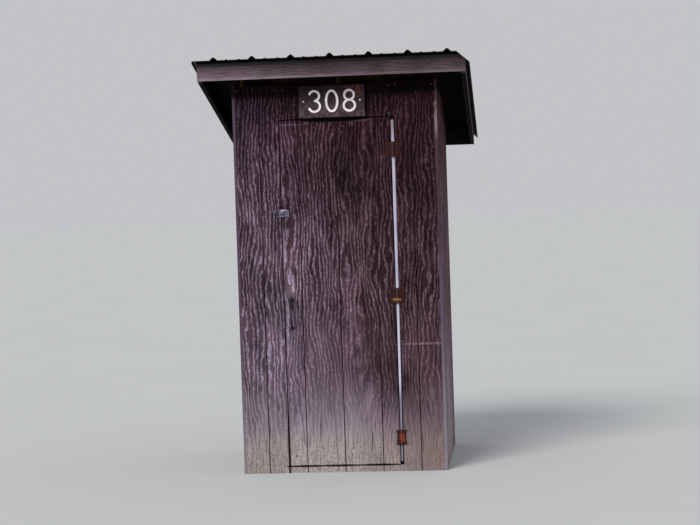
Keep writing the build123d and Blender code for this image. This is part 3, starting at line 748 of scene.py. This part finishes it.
# %% Silvered pine strip
pale_strip, tree, place = begin_material("silvered_pine")
axes = add(tree, "SeparateXYZ", {0: place["Object"]})
rings, fibres = grain(tree, axes["X"], axes["Z"], 5 * millimetre, 3.0, 44)
wood = coat(tree, "#a8a4bb", "#cbc8db", fibres, 0.35, 0.7)
wood = coat(tree, wood, "#8b8192", rings, 0.5, 1.0, 0.3)
# The coat from 1.95 m up darkens the strip under the eave: painted shade.
for tone, start, full in (("#c4c1d6", 1.05, 0.85), ("#8d838f", 1.95, 2.05), ("#82798b", 0.55, 0.42)):
    wood = coat(tree, wood, tone, axes["Z"], start, full)
end_material(tree, wood, 0.75, fibres, 0.3, 0.5 * millimetre, wood_index)
print("strip", pale_strip.name)

# %% [markdown]
# The floor planks carry boots, so they are scoured grey and blotched dark with soil. Each plank
# came from another tree, so its tone is shifted by a random value that is drawn from its number,
# and the number is counted from its place.

# %% Scoured floor planks
plank_count = 7
floor_wood, tree, place = begin_material("scoured_floor_planks")
axes = add(tree, "SeparateXYZ", {0: place["Object"]})
rings, fibres = grain(tree, axes["Y"], axes["X"], 12 * millimetre, 8.0, 51)
low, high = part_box("floor_planks")
number = add(tree, "Math", {0: axes["Y"], 1: low.y}, operation="SUBTRACT")[0]
pitch = (high.y - low.y) / plank_count
number = add(tree, "Math", {0: number, 1: pitch}, operation="DIVIDE")[0]
number = add(tree, "Math", {0: number}, operation="FLOOR")[0]
tone = add(tree, "TexWhiteNoise", {"W": number}, noise_dimensions="1D")[0]
soil = add(tree, "TexNoise", {"Vector": place["Object"], "Scale": 9.0, "Detail": 5.0})[0]
wood = coat(tree, coat(tree, "#6f6257", "#8d7f70", rings), "#57493f", tone, 0.0, 1.0, 0.5)
wood = coat(tree, wood, "#453a30", soil, 0.48, 0.66, 0.8)
end_material(tree, wood, 0.88, fibres, 0.5, 1.0 * millimetre, wood_index)
print("planks", floor_wood.name, "pitch", round(pitch, 4))

# %% [markdown]
# Now each solid gets its finish. A solid that came from the model keeps its mesh, and only its
# material slot changes. A table from the start of a name to a finish is the shortest way to say
# it. What is left is framing, whose grain has to run along the timber, so the direction is read
# from the solid's own box: the longest side wins.

# %% Finish of every solid
finishes = {
    "front_siding": walls["front"], "door_panel": walls["front"], "rear_siding": walls["rear"],
    "side_siding_left": walls["left"], "side_siding_right": walls["right"],
    "fascia": fascia_wood, "rake": rake_wood, "roofing": roofing_steel, "roof_deck": deck_under,
    "hinge_gap_strip": pale_strip, "hinge_": rusted_steel, "hasp": galvanised,
    "door_handle": black_iron, "floor_planks": floor_wood, "rafters": rafter_wood,
    "jamb_stud_hinge": painted_gap_shade["Z"], "door_stop_side": painted_gap_shade["Z"],
    "door_header": painted_gap_shade["X"], "door_stop_top": painted_gap_shade["X"],
    "side_sills": framing["Y"],
}


def finish_for(name):
    """The first finish that a solid's name starts with, or else framing along its longest side."""
    for start, finish in finishes.items():
        if name.startswith(start):
            return finish
    low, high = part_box(name)
    return framing["XYZ"[max(range(3), key=lambda axis: high[axis] - low[axis])]]


for name, solid in nodes.items():
    solid.data.materials.clear()
    solid.data.materials.append(finish_for(name))
print("finished", len(nodes), "solids")

# %% [markdown]
# Pieces that the solid model leaves out are made as meshes. Nails and screws repeat by the
# hundred, so one head is shaped once, as a profile turned about its axis, and then copied to each
# place and joined into one mesh for each wall. A head is turned about +Z, and a copy of it is
# tilted so that +Z looks out of the wall.

# %% Turned heads and how they are placed
def take_mesh(name, shape, *materials):
    """Turns a shape that was built point by point into a mesh with its materials."""
    mesh = bpy.data.meshes.new(name)
    shape.to_mesh(mesh)
    shape.free()
    for material in materials:
        mesh.materials.append(material)
    return mesh


def bridge(shape, one, other):
    """Faces all the way round between two circles of points."""
    for step in range(len(one)):
        after = (step + 1) % len(one)
        shape.faces.new((one[step], other[step], other[after], one[after]))


def turn_profile(name, profile, segments, recess=0):
    """A mesh turned about Z from a profile of radius and height in millimetres.

    A recess sinks its middle and four points round it, as in a cross-slotted screw."""
    shape = bmesh.new()
    crown = shape.verts.new((0, 0, (profile[0][1] - recess) * millimetre))
    circles = []
    for number, (radius, height) in enumerate(profile[1:]):
        circle = []
        for step in range(segments):
            angle = math.tau * step / segments
            sunk = recess if number == 0 and step % (segments // 4) == 0 else 0
            point = (radius * math.cos(angle), radius * math.sin(angle), height - sunk)
            circle.append(shape.verts.new(Vector(point) * millimetre))
        circles.append(circle)
    for step in range(segments):
        shape.faces.new((crown, circles[0][step], circles[0][(step + 1) % segments]))
    for inner, outer in zip(circles, circles[1:]):
        bridge(shape, inner, outer)
    shape.faces.new(reversed(circles[-1]))
    return take_mesh(name, shape)


def set_heads(name, head, places, body, material, seed=1):
    """One piece made of copies of a head, each at a point with its outward direction."""
    draw = random.Random(seed)
    joined = bmesh.new()
    for point, outward in places:
        tilt = Vector((0, 0, 1)).rotation_difference(Vector(outward)).to_matrix().to_4x4()
        spin = Matrix.Rotation(draw.uniform(0, math.tau), 4, "Z")
        copy = head.copy()
        copy.transform(Matrix.Translation(point) @ tilt @ spin)
        joined.from_mesh(copy)
        bpy.data.meshes.remove(copy)
    piece = place_object(name, take_mesh(name, joined, material))
    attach(piece, body)
    print(name, len(places), "heads")


nail_head = turn_profile("nail_head", [(0, 1.1), (2.2, 1.0), (3.9, 0.5), (4.2, -0.3)], 12)
screw_profile = [(0, 0.9), (1.9, 0.9), (3.2, 0.6), (4.3, 0.1), (4.4, -0.6)]
screw_head = turn_profile("screw_head", screw_profile, 16, 0.9)
print("heads", nail_head.name, screw_head.name)

# %% [markdown]
# Siding is nailed up its studs, about a hand's span apart, and in two short rows over the door.
# Galvanised nails keep a dull grey head with rusty spots, so they get a finish of their own. The
# lines are worked out from the boxes of the panels, so the nails always land on the wood.

# %% Siding nails
nail_tones = ("#4a4149", "#5d4a46", "#7a4a34")
nail_finish = weathered_metal("rusty_galvanised_nails", nail_tones, 140, 0.85)
nail_spacing, lowest_nail, edge_distance = 0.20, 0.05, 0.012
front = (0, -1, 0)
front_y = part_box("front_siding_left")[0].y
draw = random.Random(11)


def evenly(low, high, count):
    """Places spread evenly from low to high, both included."""
    return [low + (high - low) * number / (count - 1) for number in range(count)]


def column(x, y, low, high, outward):
    """Nails up one line, a little uneven as hand-driven ones are."""
    heights = evenly(low, high, max(2, round((high - low) / nail_spacing) + 1))
    return [((x, y, z + draw.uniform(-0.008, 0.008)), outward) for z in heights]


def row(xs, z):
    """Nails along one line of the front."""
    return [((x, front_y, z + draw.uniform(-0.004, 0.004)), front) for x in xs]


def drive_nails(name, places, body="hut"):
    """Nail heads at their places, as one piece."""
    set_heads(name, nail_head, places, body, nail_finish)


places = []
for panel in ("left", "right_upper", "right_lower"):
    low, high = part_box("front_siding_" + panel)
    for x in (low.x + edge_distance, high.x - edge_distance):
        places += column(x, front_y, max(lowest_nail, low.z + 0.02), high.z - 0.02, front)
low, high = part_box("front_siding_over_door")
clear_xs = [
    x for x in evenly(low.x + 0.03, high.x - 0.03, 5)
    if not board_low.x - 0.01 < x < board_high.x + 0.01
]
places += row(clear_xs, high.z - 0.02) + row(clear_xs, low.z + 0.018)
drive_nails("siding_nails_front", places)

for side, panel in ((-1, "left"), (1, "right")):
    low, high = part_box("side_siding_" + panel)
    places = []
    for y in (low.y + 0.03, 0.0, high.y - 0.03):
        top = high.z - roof_slope * (y - low.y) - 0.06
        places += column(low.x if side < 0 else high.x, y, lowest_nail, top, (side, 0, 0))
    drive_nails("siding_nails_" + panel, places)

low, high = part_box("rear_siding")
places = []
for x in (low.x + 0.018, 0.0, high.x - 0.018):
    places += column(x, high.y, lowest_nail, high.z - 0.06, (0, 1, 0))
drive_nails("siding_nails_rear", places)

# %% [markdown]
# The door's panel is nailed through into the stile and rails behind it. Those nails ride on the
# door, so that they swing with it. The boxes of the stile and the rails give their lines.

# %% Door nails
middle_rail = 0.884
low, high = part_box("door_stile")
places = column((low.x + high.x) / 2, front_y, low.z + 0.03, high.z - 0.03, front)
low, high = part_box("door_rails")
for z in (low.z + 0.045, middle_rail, high.z - 0.045):
    for rise in (-0.02, 0.02):
        places += row(evenly(low.x + 0.02, high.x - 0.02, 4), z + rise)
drive_nails("door_nails", places, "door")

# %% [markdown]
# Fascias are face-nailed in pairs into the rafter tails, and the rakes in one line into the deck.
# They are placed from the rafters and from the slope, like the boards that they hold.

# %% Fascia and rake nails
rafter_xs = (-0.5746, 0.0, 0.5746)
places = []
for name, outward in (("fascia_front", -1), ("fascia_rear", 1)):
    low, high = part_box(name)
    y = low.y if outward < 0 else high.y
    middle = (low.z + high.z) / 2
    for x in (low.x + edge_distance, *rafter_xs, high.x - edge_distance):
        places += [((x, y, z), (0, outward, 0)) for z in (middle - 0.025, middle + 0.020)]
drive_nails("fascia_nails", places)

low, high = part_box("rake_boards")
rake_middle = fascia_low.z + 0.052
places = []
for y in evenly(low.y + 0.05, high.y - 0.05, 6):
    z = rake_middle - roof_slope * (y - fascia_low.y)
    places += [((low.x, y, z), (-1, 0, 0)), ((high.x, y, z), (1, 0, 0))]
drive_nails("rake_nails", places)

# %% [markdown]
# Butt hinges hold with three screws in each leaf, set in a zigzag so that they don't split the
# wood along one line. They are placed from the pin and the height of each hinge, are as rusty as
# the leaves, and each set rides with its own leaf.

# %% Hinge screws
leaf_thickness = 2.5 * millimetre
hinge_rows = ((-0.030, 0.034), (0.0, 0.021), (0.030, 0.034))
for place, (low, high) in zip(("bottom", "middle", "top"), hinge_boxes):
    middle = (low.z + high.z) / 2
    for leaf, side, body in (("frame_leaf", 1, "hut"), ("door_leaf", -1, "door")):
        name = "hinge_" + place + "_" + leaf + "_screws"
        face_y = high.y - leaf_thickness
        spots = [((pin_x + side * out, face_y, middle + rise), front) for rise, out in hinge_rows]
        set_heads(name, screw_head, spots, body, rusted_steel, seed=len(name))

# %% [markdown]
# The hasp's plate has four small screws, and the handle has two through its arched plate and one
# through its round foot. All are counted from the edges of the boxes of those two solids.

# %% Hasp and handle screws
plate_x, plate_z = hasp_high.x - 0.017, (hasp_low.z + hasp_high.z) / 2
plate_thickness, handle_thickness = 2.5 * millimetre, 3.0 * millimetre
spots = [
    ((plate_x + shift, front_y - plate_thickness, plate_z + rise), front)
    for shift in (-0.006, 0.010) for rise in (-0.014, 0.014)
]
set_heads("hasp_screws", screw_head, spots, "door", galvanised)
spots = [
    ((grip_x + shift, front_y - handle_thickness, z), front)
    for shift, z in (
        (-0.012, grip_high.z - 0.022), (0.012, grip_high.z - 0.022), (0.0, grip_low.z + 0.007)
    )
]
set_heads("handle_screws", screw_head, spots, "door", black_iron)

# %% [markdown]
# Roofing is held by hexagonal screws with a rubber washer, driven through the flat of the sheet
# beside each rib, in rows across the slope. A hexagon is a turned profile with six sides, so the
# same function makes the washer with sixteen sides and the head with six.

# %% Roofing screws
rib_pitch, beside_rib, ribs_per_sheet = 0.2286, 0.045, 3
screw_rows = (-0.70, -0.35, 0.0, 0.35, 0.70)
sheet_thickness = 0.8 * millimetre
washer = turn_profile("washer", [(0, 1.6), (4.0, 1.6), (6.6, 1.1), (7.2, -0.3)], 16)
hexagon = turn_profile("hexagon", [(0, 6.2), (3.6, 6.2), (4.5, 5.4), (4.5, 1.4)], 6)
both = bmesh.new()
both.from_mesh(washer)
both.from_mesh(hexagon)
roof_screw = take_mesh("roof_screw", both)

low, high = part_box("roof_deck_left")
upward = Vector((0, roof_slope, 1)).normalized()
for side, name in ((-1, "left"), (1, "right")):
    spots = []
    for rib in range(ribs_per_sheet):
        for y in screw_rows:
            z = high.z - roof_slope * (y - low.y) + sheet_thickness / upward.z
            spots.append(((side * (rib * rib_pitch + beside_rib), y, z), upward))
    set_heads("roofing_screws_" + name, roof_screw, spots, "hut", roofing_steel)

# %% [markdown]
# Dry plywood lets go of slivers where it was cut, most of all near the ground. Each is a thin
# wedge of the face ply, rooted in the wall at one end and lifted a few millimetres at the other.
# They take the wall's own material: it reads its colour from the place in the building, so a
# sliver has the colour of the wall behind it.

# %% Lifted slivers
sliver_sunk, sliver_thickness = 0.4 * millimetre, 0.9 * millimetre


def foot_spots(count, low, high, seed):
    """Places across a wall and up it, crowded towards its foot."""
    draw = random.Random(seed)
    return [(draw.uniform(low, high), 0.065 + 0.5 * draw.random() ** 2.5) for _ in range(count)]


def slivers(name, spots, across, outward, reach, body, material, seed):
    """Thin tapered splinters on a wall that stands a reach from the middle."""
    draw = random.Random(seed)
    shape = bmesh.new()
    side, out = Vector(across), Vector(outward)
    for shift, height in spots:
        root = side * shift + out * reach + Vector((0, 0, height))
        length = draw.uniform(0.018, 0.060)
        width = draw.uniform(0.0012, 0.0034)
        lift = draw.uniform(0.0012, 0.0045)
        lean = draw.uniform(-0.06, 0.06)
        way = draw.choice((1, -1))
        tip = root + Vector((0, 0, way * length)) + side * lean * length + out * lift
        sunk, ridge = root - out * sliver_sunk, root + out * sliver_thickness
        one, other, top, end = [
            shape.verts.new(point)
            for point in (sunk + side * width / 2, sunk - side * width / 2, ridge, tip)
        ]
        for face in ((one, other, top), (one, top, end), (top, other, end), (other, one, end)):
            shape.faces.new(face)
    bmesh.ops.recalc_face_normals(shape, faces=shape.faces)
    piece = place_object(name, take_mesh(name, shape, material))
    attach(piece, body)
    print(name, len(spots), "slivers")


for name, solid, body, count in (
    ("front_left", "front_siding_left", "hut", 14),
    ("front_right", "front_siding_right_lower", "hut", 14),
    ("door", "door_panel", "door", 26),
):
    low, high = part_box(solid)
    spots = foot_spots(count, low.x + 0.01, high.x - 0.01, len(name))
    slivers("slivers_" + name, spots, (1, 0, 0), front, -front_y, body, walls["front"], count)
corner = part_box("side_siding_right")[1]
for side, name in ((-1, "left"), (1, "right")):
    spots = foot_spots(30, 0.01 - corner.y, corner.y - 0.01, 5 + side)
    facing = (side, 0, 0)
    slivers("slivers_" + name, spots, (0, 1, 0), facing, corner.x, "hut", walls[name], 8 + side)

# %% [markdown]
# The building's number is routed, as on park signs: a round-nosed cutter follows each figure's
# stroke, and the groove is then painted white. That is why the strokes all have one width and
# round ends. It is made the same way here. Each stroke is a line of points from arcs, a round
# bar is swept along it, and a boolean cuts the bar out of a copy of the board, which then stands
# for the solid board. The number itself is a plain one of this lesson's own, and the upper loops
# of its 3 and 8 are a little smaller than the lower ones, which looks steadier.

# %% Strokes of the figures
stroke_width = 13.5 * millimetre
figure_width, figure_height = 80 * millimetre, 134 * millimetre
half_width = (figure_width - stroke_width) / 2
half_height = (figure_height - stroke_width) / 2
upper_rise, lower_rise = half_height * 0.47, half_height * 0.53
upper_middle, lower_middle = (0, half_height - upper_rise), (0, lower_rise - half_height)


def arc(centre, radii, start, end, steps=24):
    """Points along an ellipse's arc, in degrees counted from the right, going anticlockwise."""
    angles = [math.radians(start + (end - start) * step / steps) for step in range(steps + 1)]
    return [
        (centre[0] + radii[0] * math.cos(angle), centre[1] + radii[1] * math.sin(angle))
        for angle in angles
    ]


def ring(centre, radii, steps):
    """A closed stroke."""
    return arc(centre, radii, 0, 360, steps)[:-1], True


three = arc(upper_middle, (half_width * 0.90, upper_rise), 155, -90)
three += arc(lower_middle, (half_width, lower_rise), 90, -155)[1:]
nought = ring((0, 0), (half_width, half_height), 40)
upper_ring = ring(upper_middle, (half_width * 0.86, upper_rise), 32)
lower_ring = ring(lower_middle, (half_width, lower_rise), 32)
figures = ([(three, False)], [nought], [upper_ring, lower_ring])
print("figure", round(half_width * 2000), "by", round(half_height * 2000), "mm between strokes")

# %% [markdown]
# The board has a thick coat of brown, chalked to a dusty brown along its foot and nearly black
# under the eave, which is partly painted shade, and it is rubbed through to reddish wood at its
# upper right corner. The groove's white paint has dulled a little and lost flakes. Both are paints,
# so their index is 1.5.

# %% Sign paint, brown and white
board_paint, tree, place = begin_material("brown_sign_paint")
axes = add(tree, "SeparateXYZ", {0: place["Object"]})
rings, fibres = grain(tree, axes["Z"], axes["X"], 11 * millimetre, 5.0, 61)
scuffs = add(tree, "TexNoise", {"Vector": place["Object"], "Scale": 42.0, "Detail": 4.0})[0]
rubbed_corner = (board_high.x - 0.045, board_low.y, board_high.z - 0.022)
reach = apart(tree, place, rubbed_corner, (0.100, 0.050, 0.055))
near = add(tree, "MapRange", {0: reach, 1: 1.0, 2: 0.2}, **smooth)[0]
scuffed = add(tree, "MapRange", {0: scuffs, 1: 0.36, 2: 0.56}, **smooth)[0]
rub = add(tree, "Math", {0: near, 1: scuffed}, operation="MULTIPLY")[0]
paint = coat(tree, "#1c1114", "#2f1f22", fibres, 0.35, 0.7)
dusty = coat(tree, "#34272a", "#54454a", scuffs, 0.38, 0.62)
# Lighter towards the foot: dust, and painted shade that darkens the top under the eave.
paint = coat(tree, paint, dusty, axes["Z"], board_high.z - 0.030, board_low.z + 0.010)
colour = coat(tree, coat(tree, paint, "#5c302e", rub), "#4a383d", scuffs, 0.60, 0.70, 0.6)
end_material(tree, colour, 0.72, fibres, 0.35, 0.8 * millimetre, paint_index, 0.2)

white_paint, tree, place = begin_material("white_groove_paint")
flakes = add(tree, "TexNoise", {"Vector": place["Object"], "Scale": 130.0, "Detail": 4.0})[0]
dust = add(tree, "TexNoise", {"Vector": place["Object"], "Scale": 22.0, "Detail": 3.0})[0]
colour = coat(tree, "#f4eff2", "#dcd3da", dust, 0.35, 0.7)
colour = coat(tree, colour, "#6a5a5e", flakes, 0.70, 0.76)
end_material(tree, colour, 0.6, flakes, 0.2, 0.3 * millimetre, paint_index)
print("sign", board_paint.name, white_paint.name)

# %% [markdown]
# A cutter of this radius, sunk just far enough, leaves a groove of the stroke's width. Its path is
# a bar of round circles joined to each other, closed into a loop or ended with a dome. The bar's
# faces carry the white paint, and a boolean gives it to the faces that it cuts.

# %% A bar along a stroke
cutter_radius = 8.0 * millimetre
cut_depth = cutter_radius - math.sqrt(cutter_radius ** 2 - (stroke_width / 2) ** 2)
inward = Vector((0, 1, 0))


def stroke_bar(points, closed, middle, sides=16):
    """A round bar swept along a stroke, sunk into the board's face by the depth of the cut."""
    lead = board_low.y - cutter_radius + cut_depth
    path = [Vector((middle.x + x, lead, middle.z + z)) for x, z in points]
    shape = bmesh.new()
    circles = []
    for number, point in enumerate(path):
        after = path[(number + 1) % len(path)] if closed or number + 1 < len(path) else point
        before = path[number - 1] if closed or number else point
        sideways = (after - before).normalized().cross(inward).normalized()
        circle = []
        for step in range(sides):
            angle = math.tau * step / sides
            offset = sideways * math.cos(angle) + inward * math.sin(angle)
            circle.append(shape.verts.new(point + offset * cutter_radius))
        circles.append(circle)
    for one, other in zip(circles, circles[1:] + circles[:1] if closed else circles[1:]):
        bridge(shape, one, other)
    ends = () if closed else ((circles[0], path[0], path[1]), (circles[-1], path[-1], path[-2]))
    for circle, end, inner in ends:
        outward = (end - inner).normalized()
        previous = circle
        for share in (0.5, 0.87):
            shrink = math.sqrt(1 - share ** 2)
            tip = end + outward * cutter_radius * share
            dome = [shape.verts.new(tip + (v.co - end) * shrink) for v in circle]
            bridge(shape, previous, dome)
            previous = dome
        shape.faces.new(previous)
    bmesh.ops.recalc_face_normals(shape, faces=shape.faces)
    mesh = take_mesh("bar", shape, board_paint, white_paint)
    for face in mesh.polygons:
        face.material_index = 1
    return place_object("bar", mesh)


print("grooves", round(cut_depth * 1000, 1), "mm deep")

# %% [markdown]
# The solid board stays as it is. A copy of it is welded into one closed skin, each bar is cut out
# of that in turn, and the result replaces the solid. The exact solver is slower than the fast one
# but makes clean edges, and it is told to allow for skins that touch themselves.

# %% Route the figures into the board
figure_pitch, figure_rise = 104 * millimetre, 2 * millimetre
welded = bmesh.new()
welded.from_mesh(nodes["number_board"].data)
bmesh.ops.remove_doubles(welded, verts=welded.verts, dist=1e-6)
board_mesh = take_mesh("routed_number_board", welded, board_paint, white_paint)
board = place_object("routed_number_board", board_mesh)
board_middle = (board_low + board_high) / 2
for order, strokes in enumerate(figures):
    middle = board_middle + Vector(((order - 1) * figure_pitch, 0, figure_rise))
    for points, closed in strokes:
        bar = stroke_bar(points, closed, middle)
        cut = board.modifiers.new("cut", "BOOLEAN")
        cut.operation, cut.solver = "DIFFERENCE", "EXACT"
        cut.use_self = True
        cut.object = bar
        evaluated = board.evaluated_get(bpy.context.evaluated_depsgraph_get())
        routed = bpy.data.meshes.new_from_object(evaluated)
        board.modifiers.clear()
        board.data = routed
        bpy.data.objects.remove(bar)
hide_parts("number_board")
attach(board, "hut")
print("routed board", len(board.data.polygons), "faces")

# %% [markdown]
# The board hangs on two screws, one at each end, on the figures' middle line. The brush that
# painted the figures went over their heads too, so they take the same white paint.

# %% Board screws
screw_reach = 168 * millimetre
spots = [
    ((board_middle.x + side * screw_reach, board_low.y, board_middle.z + figure_rise), front)
    for side in (-1, 1)
]
set_heads("number_board_screws", screw_head, spots, "hut", white_paint)

# %% [markdown]
# The studio: a plain pale floor that runs on to the horizon, an even pale sky, and one soft key light
# high in front and to the left. A sun lamp with a wide angle is a soft box that is infinitely far
# away, so the floor is as bright far off as it is close by, and its tone can meet the sky's. The
# lamp's height draws the eave's shadow over the top of the wall, and its angle blurs the edge.

# %% Floor, key light and sky
floor_reach = 200.0
light_direction = Vector((0.42, 0.86, -0.78))
floor_finish, tree, place = begin_material("pale_studio_floor")
mottle = add(tree, "TexNoise", {"Vector": place["Object"], "Scale": 0.8, "Detail": 3.0})[0]
pale = {"Base Color": coat(tree, "#bfc1c3", "#c4c6c8", mottle), "Roughness": 0.95}
fill(tree, tree.nodes["Principled BSDF"], {**pale, "Specular IOR Level": 0.1})
mesh = bpy.data.meshes.new("studio_floor")
corners = [(x * floor_reach, y * floor_reach, 0) for x, y in ((-1, -1), (1, -1), (1, 1), (-1, 1))]
mesh.from_pydata(corners, [], [(0, 1, 2, 3)])
mesh.materials.append(floor_finish)
plane = place_object("studio_floor", mesh)

lamp = bpy.data.lights.new("key", "SUN")
lamp.energy = 2.3
lamp.angle = math.radians(28)
lamp.color = linear("#fffdf8")[:3]
holder = place_object("key", lamp)
holder.rotation_euler = light_direction.to_track_quat("-Z", "Y").to_euler()

sky = bpy.data.worlds.new("pale_sky")
sky.use_nodes = True
fill(sky.node_tree, sky.node_tree.nodes["Background"], {"Color": "#e9ebee", "Strength": 0.66})
bpy.context.scene.world = sky
bpy.context.scene.view_settings.view_transform = "Standard"
